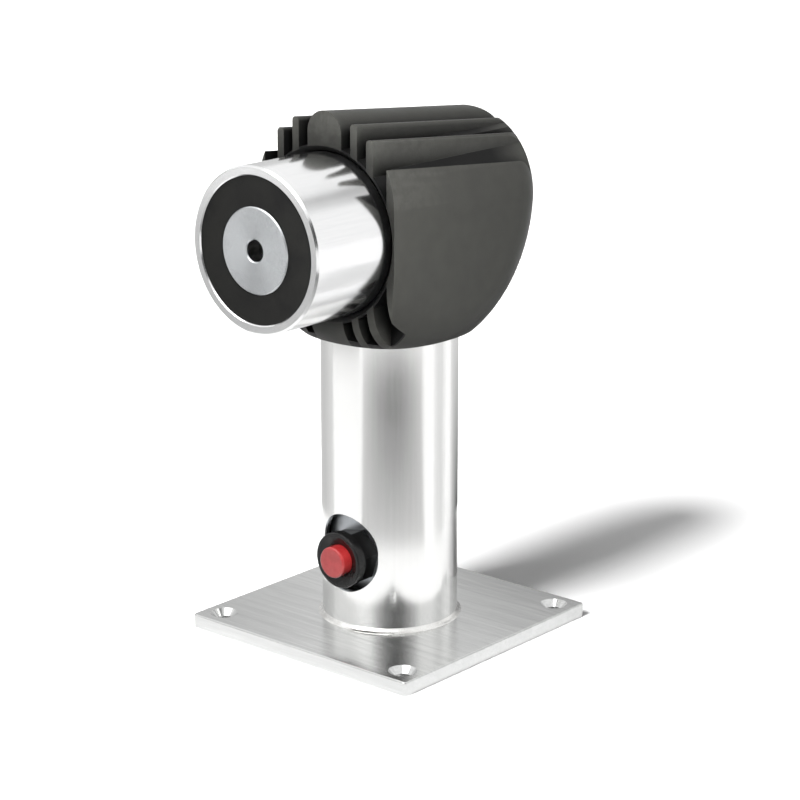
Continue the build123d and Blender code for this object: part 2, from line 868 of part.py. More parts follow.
export_step(terminal_block.part, "parts/terminal_block.step")

# Brass clamps in the block
with BuildPart() as terminal_clamps:
    with BuildSketch(Plane.XY.offset(block_middle - clamp_length / 2)):
        with Locations((0, pole_y)):
            with GridLocations(pole_spacing, 0, 3, 1):
                Circle(clamp_diameter / 2)
                Circle(clamp_bore / 2, mode=Mode.SUBTRACT)
    extrude(amount=clamp_length)
    with BuildSketch(facing(block_front)):
        with Locations((0, block_middle)):
            with GridLocations(pole_spacing, clamp_screw_spread, 3, 2):
                Circle(clamp_screw_diameter / 2)
    extrude(amount=-block_depth / 2, mode=Mode.SUBTRACT)
terminal_clamps.part.label = "terminal_clamps"
export_step(terminal_clamps.part, "parts/terminal_clamps.step")

# Slotted screws that press the leads against the clamps
clamp_screw_tip = lead_y - lead_diameter / 2
clamp_screw_neck = pole_y - clamp_diameter / 2 - bracket_hole_play
with BuildPart() as terminal_screws:
    with BuildSketch(facing(clamp_screw_neck)):
        with Locations((0, block_middle)):
            with GridLocations(pole_spacing, clamp_screw_spread, 3, 2):
                Circle(clamp_screw_diameter / 2)
    extrude(amount=-(clamp_screw_tip - clamp_screw_neck))
    with BuildSketch(facing(clamp_screw_neck)):
        with Locations((0, block_middle)):
            with GridLocations(pole_spacing, clamp_screw_spread, 3, 2):
                Circle(clamp_screw_head / 2)
    extrude(amount=clamp_screw_head_height)
    with BuildSketch(facing(clamp_screw_neck - clamp_screw_head_height)):
        with Locations((0, block_middle)):
            with GridLocations(pole_spacing, clamp_screw_spread, 3, 2):
                Rectangle(clamp_screw_head, clamp_screw_slot)
    extrude(amount=-clamp_screw_head_height / 2, mode=Mode.SUBTRACT)
terminal_screws.part.label = "terminal_screws"
export_step(terminal_screws.part, "parts/terminal_screws.step")

# Screws that hold the block to the bracket
block_screw_body = cylinder_screw(
    block_screw_head, block_screw_head_height, block_screw_diameter, block_screw_length, block_screw_socket
)
with BuildPart() as block_screws:
    with Locations(facing(block_front + block_screw_depth)):
        with Locations((0, block_middle)):
            with GridLocations(pole_spacing, 0, 2, 1):
                add(block_screw_body)
block_screws.part.label = "block_screws"
export_step(block_screws.part, "parts/block_screws.step")

# Leads from the coil, through the grommet and the ducts, down to the outer poles
with BuildPart() as magnet_leads:
    for side in (-1, 1):
        with BuildLine() as path:
            FilletPolyline(
                (side * lead_spacing / 2, pot_floor - bobbin_flange, lead_height),
                (side * lead_spacing / 2, 0, lead_height),
                (side * lead_spacing / 2, 0, magnet_lead_heights[0]),
                (side * pole_spacing, lead_y, magnet_lead_heights[1]),
                (side * pole_spacing, lead_y, block_middle + lead_overlap),
                radius=magnet_lead_bends,
            )
        with BuildSketch(Plane(path.line @ 0, z_dir=path.line % 0)):
            Circle(lead_diameter / 2)
        sweep()
magnet_leads.part.label = "magnet_leads"
export_step(magnet_leads.part, "parts/magnet_leads.step")

# Leads from the button's contacts up to the left and the middle pole
tail_y = button_back + contact_tail / 2
with BuildPart() as button_leads:
    for start, pole in ((-contact_spacing / 2, -pole_spacing), (contact_spacing / 2, 0)):
        with BuildLine() as path:
            FilletPolyline(
                (start, tail_y, button_height + contact_blade_thickness / 2),
                (start, tail_y, button_lead_heights[0]),
                (pole, lead_y, button_lead_heights[1]),
                (pole, lead_y, block_middle - lead_overlap),
                radius=button_lead_bends,
            )
        with BuildSketch(Plane(path.line @ 0, z_dir=path.line % 0)):
            Circle(lead_diameter / 2)
        sweep()
button_leads.part.label = "button_leads"
export_step(button_leads.part, "parts/button_leads.step")
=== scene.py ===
import bpy
import json
import math
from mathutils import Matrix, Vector


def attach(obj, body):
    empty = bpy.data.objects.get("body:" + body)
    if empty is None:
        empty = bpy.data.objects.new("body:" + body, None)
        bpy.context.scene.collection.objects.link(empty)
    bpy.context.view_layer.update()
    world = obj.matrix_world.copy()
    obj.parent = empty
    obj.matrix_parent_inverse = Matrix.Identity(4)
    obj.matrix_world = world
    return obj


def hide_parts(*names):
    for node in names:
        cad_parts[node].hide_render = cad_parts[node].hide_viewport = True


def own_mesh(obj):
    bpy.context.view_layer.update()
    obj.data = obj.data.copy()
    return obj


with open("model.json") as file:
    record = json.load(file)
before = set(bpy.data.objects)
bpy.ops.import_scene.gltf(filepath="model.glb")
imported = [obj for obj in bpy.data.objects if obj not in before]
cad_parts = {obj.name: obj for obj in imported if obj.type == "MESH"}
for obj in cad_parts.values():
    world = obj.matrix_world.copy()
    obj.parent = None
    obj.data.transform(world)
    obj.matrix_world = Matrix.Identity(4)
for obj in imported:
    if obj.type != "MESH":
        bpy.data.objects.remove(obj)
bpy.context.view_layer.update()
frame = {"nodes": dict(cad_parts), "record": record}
nodes = frame["nodes"]
print("frame loaded:", len(nodes), "nodes")

# Camera
cameraSetup = {
    "place": (0.54523, -0.63058, 0.32078),
    "aim": (-0.62575, 0.73016, -0.27442),  # direction of view
    "lens": 111.02,
    "sensor": 36.0,
}


def makeCamera(setup):
    data = bpy.data.cameras.new("photoCamera")
    data.lens = setup["lens"]
    data.sensor_width = setup["sensor"]
    data.sensor_fit = "HORIZONTAL"
    data.clip_end = 20.0
    camera = bpy.data.objects.new("photoCamera", data)
    camera.location = setup["place"]
    camera.rotation_euler = Vector(setup["aim"]).to_track_quat("-Z", "Y").to_euler()
    bpy.context.collection.objects.link(camera)
    bpy.context.scene.camera = camera


makeCamera(cameraSetup)
print("camera set")


# Shared effects, each a node group that gives values, masks or normals
def newGroup(name, inputs, outputs):
    group = bpy.data.node_groups.new(name, "ShaderNodeTree")
    for label, kind, value in inputs:
        socket = group.interface.new_socket(label, in_out="INPUT", socket_type=kind)
        if value is not None:
            socket.default_value = value
    for label, kind in outputs:
        group.interface.new_socket(label, in_out="OUTPUT", socket_type=kind)
    start = group.nodes.new("NodeGroupInput")
    end = group.nodes.new("NodeGroupOutput")
    return group, start, end


def mathNode(tree, operation, first, second=None, third=None, clamp=False):
    node = tree.nodes.new("ShaderNodeMath")
    node.operation = operation
    node.use_clamp = clamp
    for index, value in enumerate((first, second, third)):
        if value is None:
            continue
        if isinstance(value, (int, float)):
            node.inputs[index].default_value = value
        else:
            tree.links.new(value, node.inputs[index])
    return node.outputs[0]


def weigh(tree, first, second, share):
    # The first value by its share, and the second by the rest
    return mathNode(tree, "ADD", mathNode(tree, "MULTIPLY", first, share),
                    mathNode(tree, "MULTIPLY", second, 1.0 - share))


def rangeNode(tree, value, low, high, toLow, toHigh):
    node = tree.nodes.new("ShaderNodeMapRange")
    settings = {"Value": value, "From Min": low, "From Max": high, "To Min": toLow, "To Max": toHigh}
    for label, item in settings.items():
        if isinstance(item, (int, float)):
            node.inputs[label].default_value = item
        else:
            tree.links.new(item, node.inputs[label])
    return node.outputs["Result"]


def noiseNode(tree, vector, scale, detail=2.0, roughness=0.5):
    node = tree.nodes.new("ShaderNodeTexNoise")
    node.inputs["Detail"].default_value = detail
    node.inputs["Roughness"].default_value = roughness
    tree.links.new(vector, node.inputs["Vector"])
    if isinstance(scale, (int, float)):
        node.inputs["Scale"].default_value = scale
    else:
        tree.links.new(scale, node.inputs["Scale"])
    return node.outputs["Fac"]


def lengthAcross(tree, vector):
    # Distance from the Z axis of the given vector
    flat = tree.nodes.new("ShaderNodeVectorMath")
    flat.operation = "MULTIPLY"
    flat.inputs[1].default_value = (1.0, 1.0, 0.0)
    tree.links.new(vector, flat.inputs[0])
    reach = tree.nodes.new("ShaderNodeVectorMath")
    reach.operation = "LENGTH"
    tree.links.new(flat.outputs[0], reach.inputs[0])
    return reach.outputs["Value"]


def buildBrushing():
    # Long fine scratches: a noise that is drawn out along one direction
    look = {"coarseDensity": 0.23, "fineShare": 0.65}
    group, start, end = newGroup(
        "brushing",
        [("Vector", "NodeSocketVector", None), ("Stretch", "NodeSocketVector", (1.0, 1.0, 0.02)),
         ("Density", "NodeSocketFloat", 2200.0), ("Contrast", "NodeSocketFloat", 1.0)],
        [("Scratches", "NodeSocketFloat")],
    )
    stretched = group.nodes.new("ShaderNodeVectorMath")
    stretched.operation = "MULTIPLY"
    group.links.new(start.outputs["Vector"], stretched.inputs[0])
    group.links.new(start.outputs["Stretch"], stretched.inputs[1])
    fine = noiseNode(group, stretched.outputs[0], start.outputs["Density"], 3.0, 0.6)
    coarseDensity = mathNode(group, "MULTIPLY", start.outputs["Density"], look["coarseDensity"])
    coarse = noiseNode(group, stretched.outputs[0], coarseDensity, 2.0)
    both = weigh(group, fine, coarse, look["fineShare"])
    swing = mathNode(group, "MULTIPLY", mathNode(group, "SUBTRACT", both, 0.5), start.outputs["Contrast"])
    group.links.new(mathNode(group, "ADD", swing, 0.5, clamp=True), end.inputs["Scratches"])
    return group


def buildPatches():
    # Large soft variation, such as handling marks and uneven cleaning
    group, start, end = newGroup(
        "patches",
        [("Vector", "NodeSocketVector", None), ("Scale", "NodeSocketFloat", 30.0),
         ("Low", "NodeSocketFloat", 0.0), ("High", "NodeSocketFloat", 1.0)],
        [("Patches", "NodeSocketFloat")],
    )
    cloud = noiseNode(group, start.outputs["Vector"], start.outputs["Scale"], 4.0, 0.55)
    spread = rangeNode(group, cloud, 0.35, 0.65, start.outputs["Low"], start.outputs["High"])
    group.links.new(spread, end.inputs["Patches"])
    return group


def buildGrain():
    # Fine even grain of moulded, cast or potted surfaces
    group, start, end = newGroup(
        "grain",
        [("Vector", "NodeSocketVector", None), ("Scale", "NodeSocketFloat", 3000.0)],
        [("Grain", "NodeSocketFloat")],
    )
    cells = group.nodes.new("ShaderNodeTexVoronoi")
    group.links.new(start.outputs["Vector"], cells.inputs["Vector"])
    group.links.new(start.outputs["Scale"], cells.inputs["Scale"])
    cloud = noiseNode(group, start.outputs["Vector"], start.outputs["Scale"], 2.0, 0.6)
    group.links.new(weigh(group, cells.outputs["Distance"], cloud, 0.5), end.inputs["Grain"])
    return group


def buildTurning():
    # Tool marks of a lathe: rings round the Z axis of the given vector
    group, start, end = newGroup(
        "turning",
        [("Vector", "NodeSocketVector", None), ("Pitch", "NodeSocketFloat", 0.0004),
         ("Drift", "NodeSocketFloat", 0.3)],
        [("Rings", "NodeSocketFloat")],
    )
    steps = mathNode(group, "DIVIDE", lengthAcross(group, start.outputs["Vector"]), start.outputs["Pitch"])
    cloud = noiseNode(group, start.outputs["Vector"], 90.0)
    wander = mathNode(group, "MULTIPLY", cloud, start.outputs["Drift"])
    angle = mathNode(group, "MULTIPLY", mathNode(group, "ADD", steps, wander), math.tau)
    wave = mathNode(group, "SINE", angle)
    group.links.new(rangeNode(group, wave, -1.0, 1.0, 0.0, 1.0), end.inputs["Rings"])
    return group


def buildEdgeWearAndHighlight():
    # Mask of the convex edges, where a surface is rubbed bright by wear and lightened as a painted highlight
    look = {"blunt": 0.52, "keen": 0.62, "leastWorn": 0.2}
    group, start, end = newGroup(
        "edgeWearAndHighlight",
        [("Vector", "NodeSocketVector", None), ("Amount", "NodeSocketFloat", 1.0),
         ("Break", "NodeSocketFloat", 400.0)],
        [("WornAndHighlit", "NodeSocketFloat")],
    )
    geometry = group.nodes.new("ShaderNodeNewGeometry")
    sharp = rangeNode(group, geometry.outputs["Pointiness"], look["blunt"], look["keen"], 0.0, 1.0)
    cloud = noiseNode(group, start.outputs["Vector"], start.outputs["Break"], 3.0)
    broken = rangeNode(group, cloud, 0.35, 0.6, look["leastWorn"], 1.0)
    wornAndHighlit = mathNode(group, "MULTIPLY", sharp, broken)
    group.links.new(mathNode(group, "MULTIPLY", wornAndHighlit, start.outputs["Amount"], clamp=True), end.inputs["WornAndHighlit"])
    return group


def buildHollowShade():
    # Mask of the hollows, such as slots and inner corners, where shade is painted into the colour
    look = {"samples": 12, "cloudScale": 160.0, "leastOpen": 0.9}
    group, start, end = newGroup(
        "hollowShade",
        [("Vector", "NodeSocketVector", None), ("Reach", "NodeSocketFloat", 0.012),
         ("Power", "NodeSocketFloat", 2.0)],
        [("Hollow", "NodeSocketFloat")],
    )
    around = group.nodes.new("ShaderNodeAmbientOcclusion")
    around.samples = look["samples"]
    group.links.new(start.outputs["Reach"], around.inputs["Distance"])
    openness = mathNode(group, "POWER", around.outputs["AO"], start.outputs["Power"])
    cloud = noiseNode(group, start.outputs["Vector"], look["cloudScale"])
    uneven = rangeNode(group, cloud, 0.3, 0.7, look["leastOpen"], 1.0)
    openUneven = mathNode(group, "MULTIPLY", openness, uneven)
    group.links.new(mathNode(group, "SUBTRACT", 1.0, openUneven, clamp=True), end.inputs["Hollow"])
    return group


# Distance of each slot's middle from the head's middle, and half its width
slotBands = ((0.0095, 0.00195), (0.0164, 0.00195), (0.02425, 0.0029))


def buildSlotShade():
    # Mask of the head's slots, where shade is painted: above their level floor, fading to the back, and in
    # front
    group, start, end = newGroup(
        "slotShade",
        [("Vector", "NodeSocketVector", None), ("Level", "NodeSocketFloat", 0.153),
         ("Front", "NodeSocketFloat", -0.0232), ("Fade", "NodeSocketFloat", 0.028),
         ("Back", "NodeSocketFloat", 0.043)],
        [("Slots", "NodeSocketFloat")],
    )
    apart = group.nodes.new("ShaderNodeSeparateXYZ")
    group.links.new(start.outputs["Vector"], apart.inputs["Vector"])
    aside = mathNode(group, "ABSOLUTE", apart.outputs["X"])
    inBands = 0.0
    for middle, halfWidth in slotBands:
        inBands = mathNode(group, "MAXIMUM", inBands, mathNode(group, "COMPARE", aside, middle, halfWidth))
    fading = rangeNode(group, apart.outputs["Y"], start.outputs["Fade"], start.outputs["Back"], 1.0, 0.0)
    above = mathNode(group, "GREATER_THAN", apart.outputs["Z"], start.outputs["Level"])
    before = mathNode(group, "LESS_THAN", apart.outputs["Y"], start.outputs["Front"])
    region = mathNode(group, "MAXIMUM", mathNode(group, "MULTIPLY", above, fading), before)
    group.links.new(mathNode(group, "MULTIPLY", inBands, region), end.inputs["Slots"])
    return group


groups = {
    "slotShade": buildSlotShade(),
    "brushing": buildBrushing(),
    "patches": buildPatches(),
    "grain": buildGrain(),
    "turning": buildTurning(),
    "edgeWearAndHighlight": buildEdgeWearAndHighlight(),
    "hollowShade": buildHollowShade(),
}
print("shared effects built")


# Materials. The magnet's parts were turned about an axis along Y, through this point.
magnetAxis = (0.0, 0.0, 0.1476)


class Finish:
    # A material in the making: its tree, its shader and its Object coordinates
    def __init__(self, name):
        self.material = bpy.data.materials.new(name)
        self.material.use_nodes = True
        self.tree = self.material.node_tree
        self.shader = self.tree.nodes["Principled BSDF"]
        self.place = self.tree.nodes.new("ShaderNodeTexCoord").outputs["Object"]

    def put(self, name, vector=None, **values):
        node = self.tree.nodes.new("ShaderNodeGroup")
        node.node_tree = groups[name]
        self.tree.links.new(self.place if vector is None else vector, node.inputs["Vector"])
        for label, value in values.items():
            node.inputs[label].default_value = value
        return node.outputs[0]

    def turned(self, centre, axis):
        # Coordinates with their Z along a lathe axis through a centre
        node = self.tree.nodes.new("ShaderNodeMapping")
        node.vector_type = "TEXTURE"
        node.inputs["Location"].default_value = centre
        turns = {"x": (0, math.pi / 2, 0), "y": (math.pi / 2, 0, 0), "z": (0, 0, 0)}
        node.inputs["Rotation"].default_value = turns[axis]
        self.tree.links.new(self.place, node.inputs["Vector"])
        return node.outputs["Vector"]

    def within(self, radius):
        # Mask of what lies nearer than a radius to the Z axis, such as the bore of a tube, where shade is
        # painted
        return mathNode(self.tree, "LESS_THAN", lengthAcross(self.tree, self.place), radius)

    def blend(self, mask, first, second):
        # Two colours by a mask, where the first may be another blend
        node = self.tree.nodes.new("ShaderNodeMix")
        node.data_type = "RGBA"
        for label, value in (("A", first), ("B", second)):
            if isinstance(value, tuple):
                node.inputs[label].default_value = (*value, 1.0)
            else:
                self.tree.links.new(value, node.inputs[label])
        self.tree.links.new(mask, node.inputs["Factor"])
        return node.outputs["Result"]

    def colour(self, mask, first, second):
        self.tree.links.new(self.blend(mask, first, second), self.shader.inputs["Base Color"])

    def rough(self, mask, low, high):
        self.tree.links.new(rangeNode(self.tree, mask, 0.0, 1.0, low, high), self.shader.inputs["Roughness"])

    def bump(self, height, strength, distance):
        node = self.tree.nodes.new("ShaderNodeBump")
        node.inputs["Strength"].default_value = strength
        node.inputs["Distance"].default_value = distance
        self.tree.links.new(height, node.inputs["Height"])
        self.tree.links.new(node.outputs["Normal"], self.shader.inputs["Normal"])

    def plain(self, **values):
        for label, value in values.items():
            self.shader.inputs[label.replace("_", " ")].default_value = value

    def tangent(self, axis):
        node = self.tree.nodes.new("ShaderNodeTangent")
        node.direction_type = "RADIAL"
        node.axis = axis
        self.tree.links.new(node.outputs["Tangent"], self.shader.inputs["Tangent"])


def brushedFoot():
    look = {"light": (0.84, 0.845, 0.84), "dark": (0.58, 0.585, 0.58), "low": 0.12, "high": 0.24,
            "scratchShare": 0.5}
    finish = Finish("brushedFoot")
    scratches = finish.put("brushing", Stretch=(0.03, 1.0, 1.0), Density=1900.0, Contrast=1.5)
    patches = finish.put("patches", Scale=45.0)
    finish.colour(scratches, look["dark"], look["light"])
    finish.rough(weigh(finish.tree, scratches, patches, look["scratchShare"]), look["low"], look["high"])
    finish.bump(scratches, 0.12, 0.0002)
    finish.plain(Metallic=1.0)
    return finish.material


def polishedTube():
    look = {"light": (0.95, 0.95, 0.94), "dark": (0.86, 0.86, 0.85), "low": 0.12, "high": 0.2,
            "bore": (0.1, 0.1, 0.1), "boreRadius": 0.0233, "scratchShare": 0.6}
    finish = Finish("polishedTube")
    scratches = finish.put("brushing", Stretch=(1.0, 1.0, 0.012), Density=2600.0, Contrast=1.3)
    patches = finish.put("patches", Scale=28.0)
    outside = finish.blend(scratches, look["dark"], look["light"])
    # Painted shade: the tube's bore is given a dark colour
    finish.colour(finish.within(look["boreRadius"]), outside, look["bore"])
    finish.rough(weigh(finish.tree, scratches, patches, look["scratchShare"]), look["low"], look["high"])
    finish.bump(scratches, 0.05, 0.0002)
    finish.plain(Metallic=1.0)
    return finish.material


def weldSteel():
    look = {"light": (0.92, 0.92, 0.9), "dark": (0.8, 0.79, 0.77), "low": 0.2, "high": 0.3}
    finish = Finish("weldSteel")
    ripples = finish.put("patches", Scale=260.0)
    finish.colour(ripples, look["dark"], look["light"])
    finish.rough(ripples, look["low"], look["high"])
    finish.bump(ripples, 0.04, 0.0002)
    finish.plain(Metallic=1.0)
    return finish.material


def turnedSteel(name, light, dark, low, high, spread):
    finish = Finish(name)
    along = finish.turned(magnetAxis, "y")
    rings = finish.put("turning", along, Pitch=0.00035, Drift=0.4)
    marks = finish.put("brushing", Stretch=(1.0, 0.02, 1.0), Density=2400.0, Contrast=1.2)
    patches = finish.put("patches", Scale=60.0)
    finish.colour(marks, dark, light)
    finish.rough(weigh(finish.tree, rings, patches, 0.4), low, high)
    finish.bump(rings, 0.06, 0.0001)
    finish.tangent("Y")
    finish.plain(Metallic=1.0, Anisotropic=spread)
    return finish.material


def platedSteel(name, light, dark, low=0.28, high=0.42):
    finish = Finish(name)
    patches = finish.put("patches", Scale=300.0)
    finish.colour(patches, dark, light)
    finish.rough(patches, low, high)
    finish.bump(finish.put("grain", Scale=4000.0), 0.05, 0.0001)
    finish.plain(Metallic=1.0)
    return finish.material


def mouldedHead():
    look = {"body": (0.045, 0.045, 0.041), "other": (0.05, 0.05, 0.045), "wornAndHighlit": (0.12, 0.12, 0.11),
            "shade": (0.002, 0.002, 0.002), "low": 0.4, "high": 0.5, "gloss": 0.16}
    finish = Finish("mouldedHead")
    clouds = finish.put("patches", Scale=38.0)
    plainColour = finish.blend(clouds, look["body"], look["other"])
    # Wear and painted highlight: the head's convex edges are lightened
    edges = finish.put("edgeWearAndHighlight", Amount=0.35, Break=350.0)
    rubbedAndHighlit = finish.blend(edges, plainColour, look["wornAndHighlit"])
    # Painted shade: the head's hollows are darkened towards black
    shaded = finish.blend(finish.put("hollowShade", Reach=0.012, Power=3.0), rubbedAndHighlit, look["shade"])
    # Painted shade: the head's slots are darkened towards black
    finish.colour(finish.put("slotShade"), shaded, look["shade"])
    finish.rough(clouds, look["low"], look["high"])
    finish.bump(finish.put("grain", Scale=2600.0), 0.1, 0.0002)
    finish.plain(Specular_IOR_Level=look["gloss"])
    return finish.material


def mouldedPlastic(name, body, other, low, high, grainScale=2600.0, grainDepth=0.08, gloss=0.5):
    finish = Finish(name)
    patches = finish.put("patches", Scale=80.0)
    finish.colour(patches, body, other)
    finish.rough(patches, low, high)
    finish.bump(finish.put("grain", Scale=grainScale), grainDepth, 0.0002)
    finish.plain(Specular_IOR_Level=gloss)
    return finish.material


def redCap():
    look = {"body": (0.36, 0.02, 0.022), "other": (0.46, 0.035, 0.035), "low": 0.16, "high": 0.24,
            "coat": 0.6, "coatRough": 0.08}
    finish = Finish("redCap")
    patches = finish.put("patches", Scale=240.0)
    finish.colour(patches, look["body"], look["other"])
    finish.rough(patches, look["low"], look["high"])
    finish.bump(finish.put("grain", Scale=900.0), 0.03, 0.0002)
    finish.plain(Coat_Weight=look["coat"], Coat_Roughness=look["coatRough"])
    return finish.material


def woundCopper():
    # Enamelled wire seen as turns side by side, with painted shade in the grooves between the turns
    look = {"enamel": (0.52, 0.19, 0.08), "between": (0.2, 0.055, 0.02), "wire": 0.0006, "low": 0.25,
            "high": 0.4, "metal": 0.85}
    finish = Finish("woundCopper")
    along = finish.turned(magnetAxis, "y")
    apart = finish.tree.nodes.new("ShaderNodeSeparateXYZ")
    finish.tree.links.new(along, apart.inputs["Vector"])
    angle = mathNode(finish.tree, "MULTIPLY", apart.outputs["Z"], math.tau / look["wire"])
    turns = mathNode(finish.tree, "SINE", angle)
    height = rangeNode(finish.tree, turns, -1.0, 1.0, 0.0, 1.0)
    finish.colour(height, look["between"], look["enamel"])
    finish.rough(finish.put("patches", Scale=200.0), look["low"], look["high"])
    finish.bump(height, 0.8, 0.0003)
    finish.plain(Metallic=look["metal"])
    return finish.material


def turnedBrass():
    look = {"dark": (0.62, 0.43, 0.16), "light": (0.76, 0.58, 0.27), "low": 0.2, "high": 0.34}
    finish = Finish("turnedBrass")
    patches = finish.put("patches", Scale=350.0)
    finish.colour(patches, look["dark"], look["light"])
    finish.rough(patches, look["low"], look["high"])
    finish.bump(finish.put("grain", Scale=5000.0), 0.05, 0.0001)
    finish.plain(Metallic=1.0)
    return finish.material


materials = {
    "brushed_foot": brushedFoot(),
    "polished_tube": polishedTube(),
    "weld": weldSteel(),
    "turned_steel": turnedSteel("turnedSteel", light=(0.95, 0.95, 0.95), dark=(0.84, 0.845, 0.85),
                                low=0.12, high=0.2, spread=0.3),
    "zinc_steel": platedSteel("zincSteel", light=(0.5, 0.52, 0.54), dark=(0.4, 0.42, 0.44)),
    "black_head": mouldedHead(),
    "potting": mouldedPlastic("potting", (0.008, 0.008, 0.008), (0.015, 0.015, 0.014), low=0.5, high=0.7,
                              grainScale=900.0, grainDepth=0.2, gloss=0.12),
    "black_plastic": mouldedPlastic("blackPlastic", (0.006, 0.006, 0.006), (0.01, 0.01, 0.01), low=0.2,
                                    high=0.3, gloss=0.3),
    "red_cap": redCap(),
    "black_oxide": platedSteel("blackOxide", light=(0.05, 0.048, 0.045), dark=(0.03, 0.028, 0.026),
                               low=0.35, high=0.5),
    "natural_plastic": mouldedPlastic("naturalPlastic", (0.7, 0.68, 0.62), (0.76, 0.74, 0.69),
                                      low=0.35, high=0.5),
    "rubber": mouldedPlastic("rubber", (0.02, 0.02, 0.02), (0.03, 0.03, 0.03), low=0.6, high=0.8,
                             grainScale=1500.0, grainDepth=0.2),
    "copper_coil": woundCopper(),
    "brass": turnedBrass(),
    "aluminium": platedSteel("turnedAluminium", light=(0.78, 0.79, 0.8), dark=(0.7, 0.71, 0.72),
                             low=0.22, high=0.36),
    "spring_steel": platedSteel("springSteel", light=(0.55, 0.55, 0.56), dark=(0.42, 0.42, 0.43),
                                low=0.25, high=0.4),
    "red_insulation": mouldedPlastic("redInsulation", (0.42, 0.03, 0.03), (0.5, 0.05, 0.045),
                                     low=0.35, high=0.5),
    "black_insulation": mouldedPlastic("blackInsulation", (0.02, 0.02, 0.02), (0.03, 0.03, 0.03),
                                       low=0.35, high=0.5),
}
for entry in frame["record"]["subparts"]:
    mesh = nodes[entry["node"]].data
    mesh.materials.clear()
    mesh.materials.append(materials[entry["material_slot"]])
print("materials placed")


def makeSpring():
    bpy.ops.object.select_all(action="DESELECT")
    spring = bpy.data.objects.new("push_spring", nodes["button_spring"].data.copy())
    bpy.context.collection.objects.link(spring)
    spring.select_set(True)
    bpy.context.view_layer.objects.active = spring
    bpy.ops.object.mode_set(mode="EDIT")
    bpy.ops.mesh.select_all(action="SELECT")
    bpy.ops.mesh.remove_doubles(threshold=0.000001)
    bpy.ops.mesh.normals_make_consistent(inside=False)
    bpy.ops.object.mode_set(mode="OBJECT")
    bpy.ops.object.shade_smooth_by_angle(angle=math.radians(40))
    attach(spring, "post")
    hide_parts("button_spring")
    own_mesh(spring)


makeSpring()
print("spring placed")

# The core's face has its own finer turning
nodes["magnet_core"].data.materials[0] = turnedSteel(
    "facedSteel", light=(0.68, 0.7, 0.715), dark=(0.6, 0.62, 0.635), low=0.24, high=0.32, spread=0.8)


# Floor, backdrop and lights
floorLook = {"size": 12.0, "tone": 0.9, "inMirrors": 0.59, "lift": 0.03}


def seenByMirrors(tree):
    # 1 where the camera, a gloss or a transmission looks at the surface
    path = tree.nodes.new("ShaderNodeLightPath")
    mirrored = mathNode(tree, "MAXIMUM", path.outputs["Is Glossy Ray"], path.outputs["Is Transmission Ray"])
    return mathNode(tree, "MAXIMUM", path.outputs["Is Camera Ray"], mirrored)


def makeFloor(look):
    bpy.ops.object.select_all(action="DESELECT")
    bpy.ops.mesh.primitive_plane_add(size=look["size"], location=(0.0, 0.0, 0.0))
    floor = bpy.context.object
    floor.name = "floor"
    material = bpy.data.materials.new("paleFloor")
    material.use_nodes = True
    tree = material.node_tree
    shader = tree.nodes["Principled BSDF"]
    path = tree.nodes.new("ShaderNodeLightPath")
    # Painted reflection: the floor shows a darker tone to glossy rays than to the camera
    tone = rangeNode(tree, path.outputs["Is Glossy Ray"], 0.0, 1.0, look["tone"], look["inMirrors"])
    tree.links.new(tone, shader.inputs["Base Color"])
    shader.inputs["Roughness"].default_value = 0.9
    shader.inputs["Specular IOR Level"].default_value = 0.0
    shader.inputs["Emission Color"].default_value = (1.0, 1.0, 1.0, 1.0)
    lift = mathNode(tree, "MULTIPLY", seenByMirrors(tree), look["lift"])
    tree.links.new(lift, shader.inputs["Emission Strength"])
    floor.data.materials.append(material)
    floor.visible_diffuse = False  # so that it throws no light back up


makeFloor(floorLook)

worldLook = {"ambient": 0.1, "seen": 1.0}


def makeWorld(look):
    world = bpy.data.worlds.new("studio")
    bpy.context.scene.world = world
    world.use_nodes = True
    tree = world.node_tree
    background = tree.nodes["Background"]
    background.inputs["Color"].default_value = (1.0, 1.0, 1.0, 1.0)
    strength = rangeNode(tree, seenByMirrors(tree), 0.0, 1.0, look["ambient"], look["seen"])
    tree.links.new(strength, background.inputs["Strength"])


makeWorld(worldLook)

# Soft suns: the key makes the floor's shadow, and the others shape the object
suns = [
    {"name": "keySun", "from": (-0.09, -1.0, 1.1), "strength": 6.2, "angle": 18.0, "lights": "floor"},
    {"name": "softSun", "from": (-0.1, -1.0, 1.4), "strength": 1.2, "angle": 50.0, "lights": "all"},
    {"name": "leftSun", "from": (-0.85, -0.4, 0.35), "strength": 1.2, "angle": 60.0, "lights": "object"},
]
# A lamp near the cheek, so that the head darkens towards its back
cheekLamp = {"name": "cheekLamp", "place": (0.17, -0.17, 0.24), "aim": (0.045, 0.0, 0.15), "size": 0.1,
             "power": 1.25}


def linkLamp(lamp, lights):
    if lights != "all":
        lit = bpy.data.collections.new(lamp.name + "Lights")
        for piece in [bpy.data.objects["floor"]] if lights == "floor" else nodes.values():
            lit.objects.link(piece)
        lamp.light_linking.receiver_collection = lit
    lamp.visible_glossy = lights == "all"
    bpy.context.collection.objects.link(lamp)


def makeSun(setup):
    data = bpy.data.lights.new(setup["name"], "SUN")
    data.energy = setup["strength"]
    data.angle = math.radians(setup["angle"])
    lamp = bpy.data.objects.new(setup["name"], data)
    lamp.rotation_euler = Vector(setup["from"]).to_track_quat("Z", "Y").to_euler()
    linkLamp(lamp, setup["lights"])


def makeNearLamp(setup):
    data = bpy.data.lights.new(setup["name"], "AREA")
    data.shape = "DISK"
    data.size = setup["size"]
    data.energy = setup["power"]
    lamp = bpy.data.objects.new(setup["name"], data)
    lamp.location = setup["place"]
    lamp.rotation_euler = (Vector(setup["place"]) - Vector(setup["aim"])).to_track_quat("Z", "Y").to_euler()
    linkLamp(lamp, "object")


for sun in suns:
    makeSun(sun)
makeNearLamp(cheekLamp)

